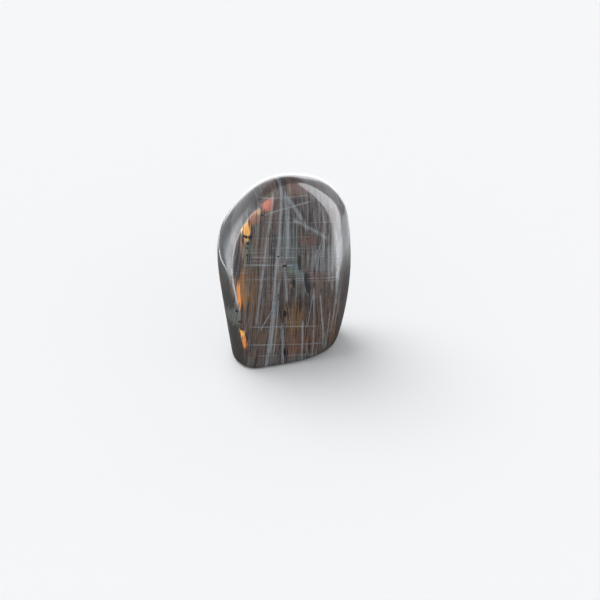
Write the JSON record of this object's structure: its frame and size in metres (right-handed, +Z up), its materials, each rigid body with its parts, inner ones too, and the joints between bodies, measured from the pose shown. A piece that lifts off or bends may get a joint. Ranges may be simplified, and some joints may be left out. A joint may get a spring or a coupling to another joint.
{
  "type": "polished labradorite freeform",
  "caption": "Upright polished labradorite freeform: a rounded, tapering slab with soft ground faces, standing on its own level sawn foot.",
  "frame": {"origin": "on the level sawn foot, under the middle of the stone's box", "axes": "+Z up from the foot, +Y from the broad polished front to the back, +X to the right as the front is looked at"},
  "size_m": [0.0702, 0.0416, 0.1011],
  "materials": {
    "polished_labradorite": "high polish all round, matt sawn foot"
  },
  "bodies": {
    "root": {"labradorite": "polished_labradorite"}
  },
  "joints": []
}
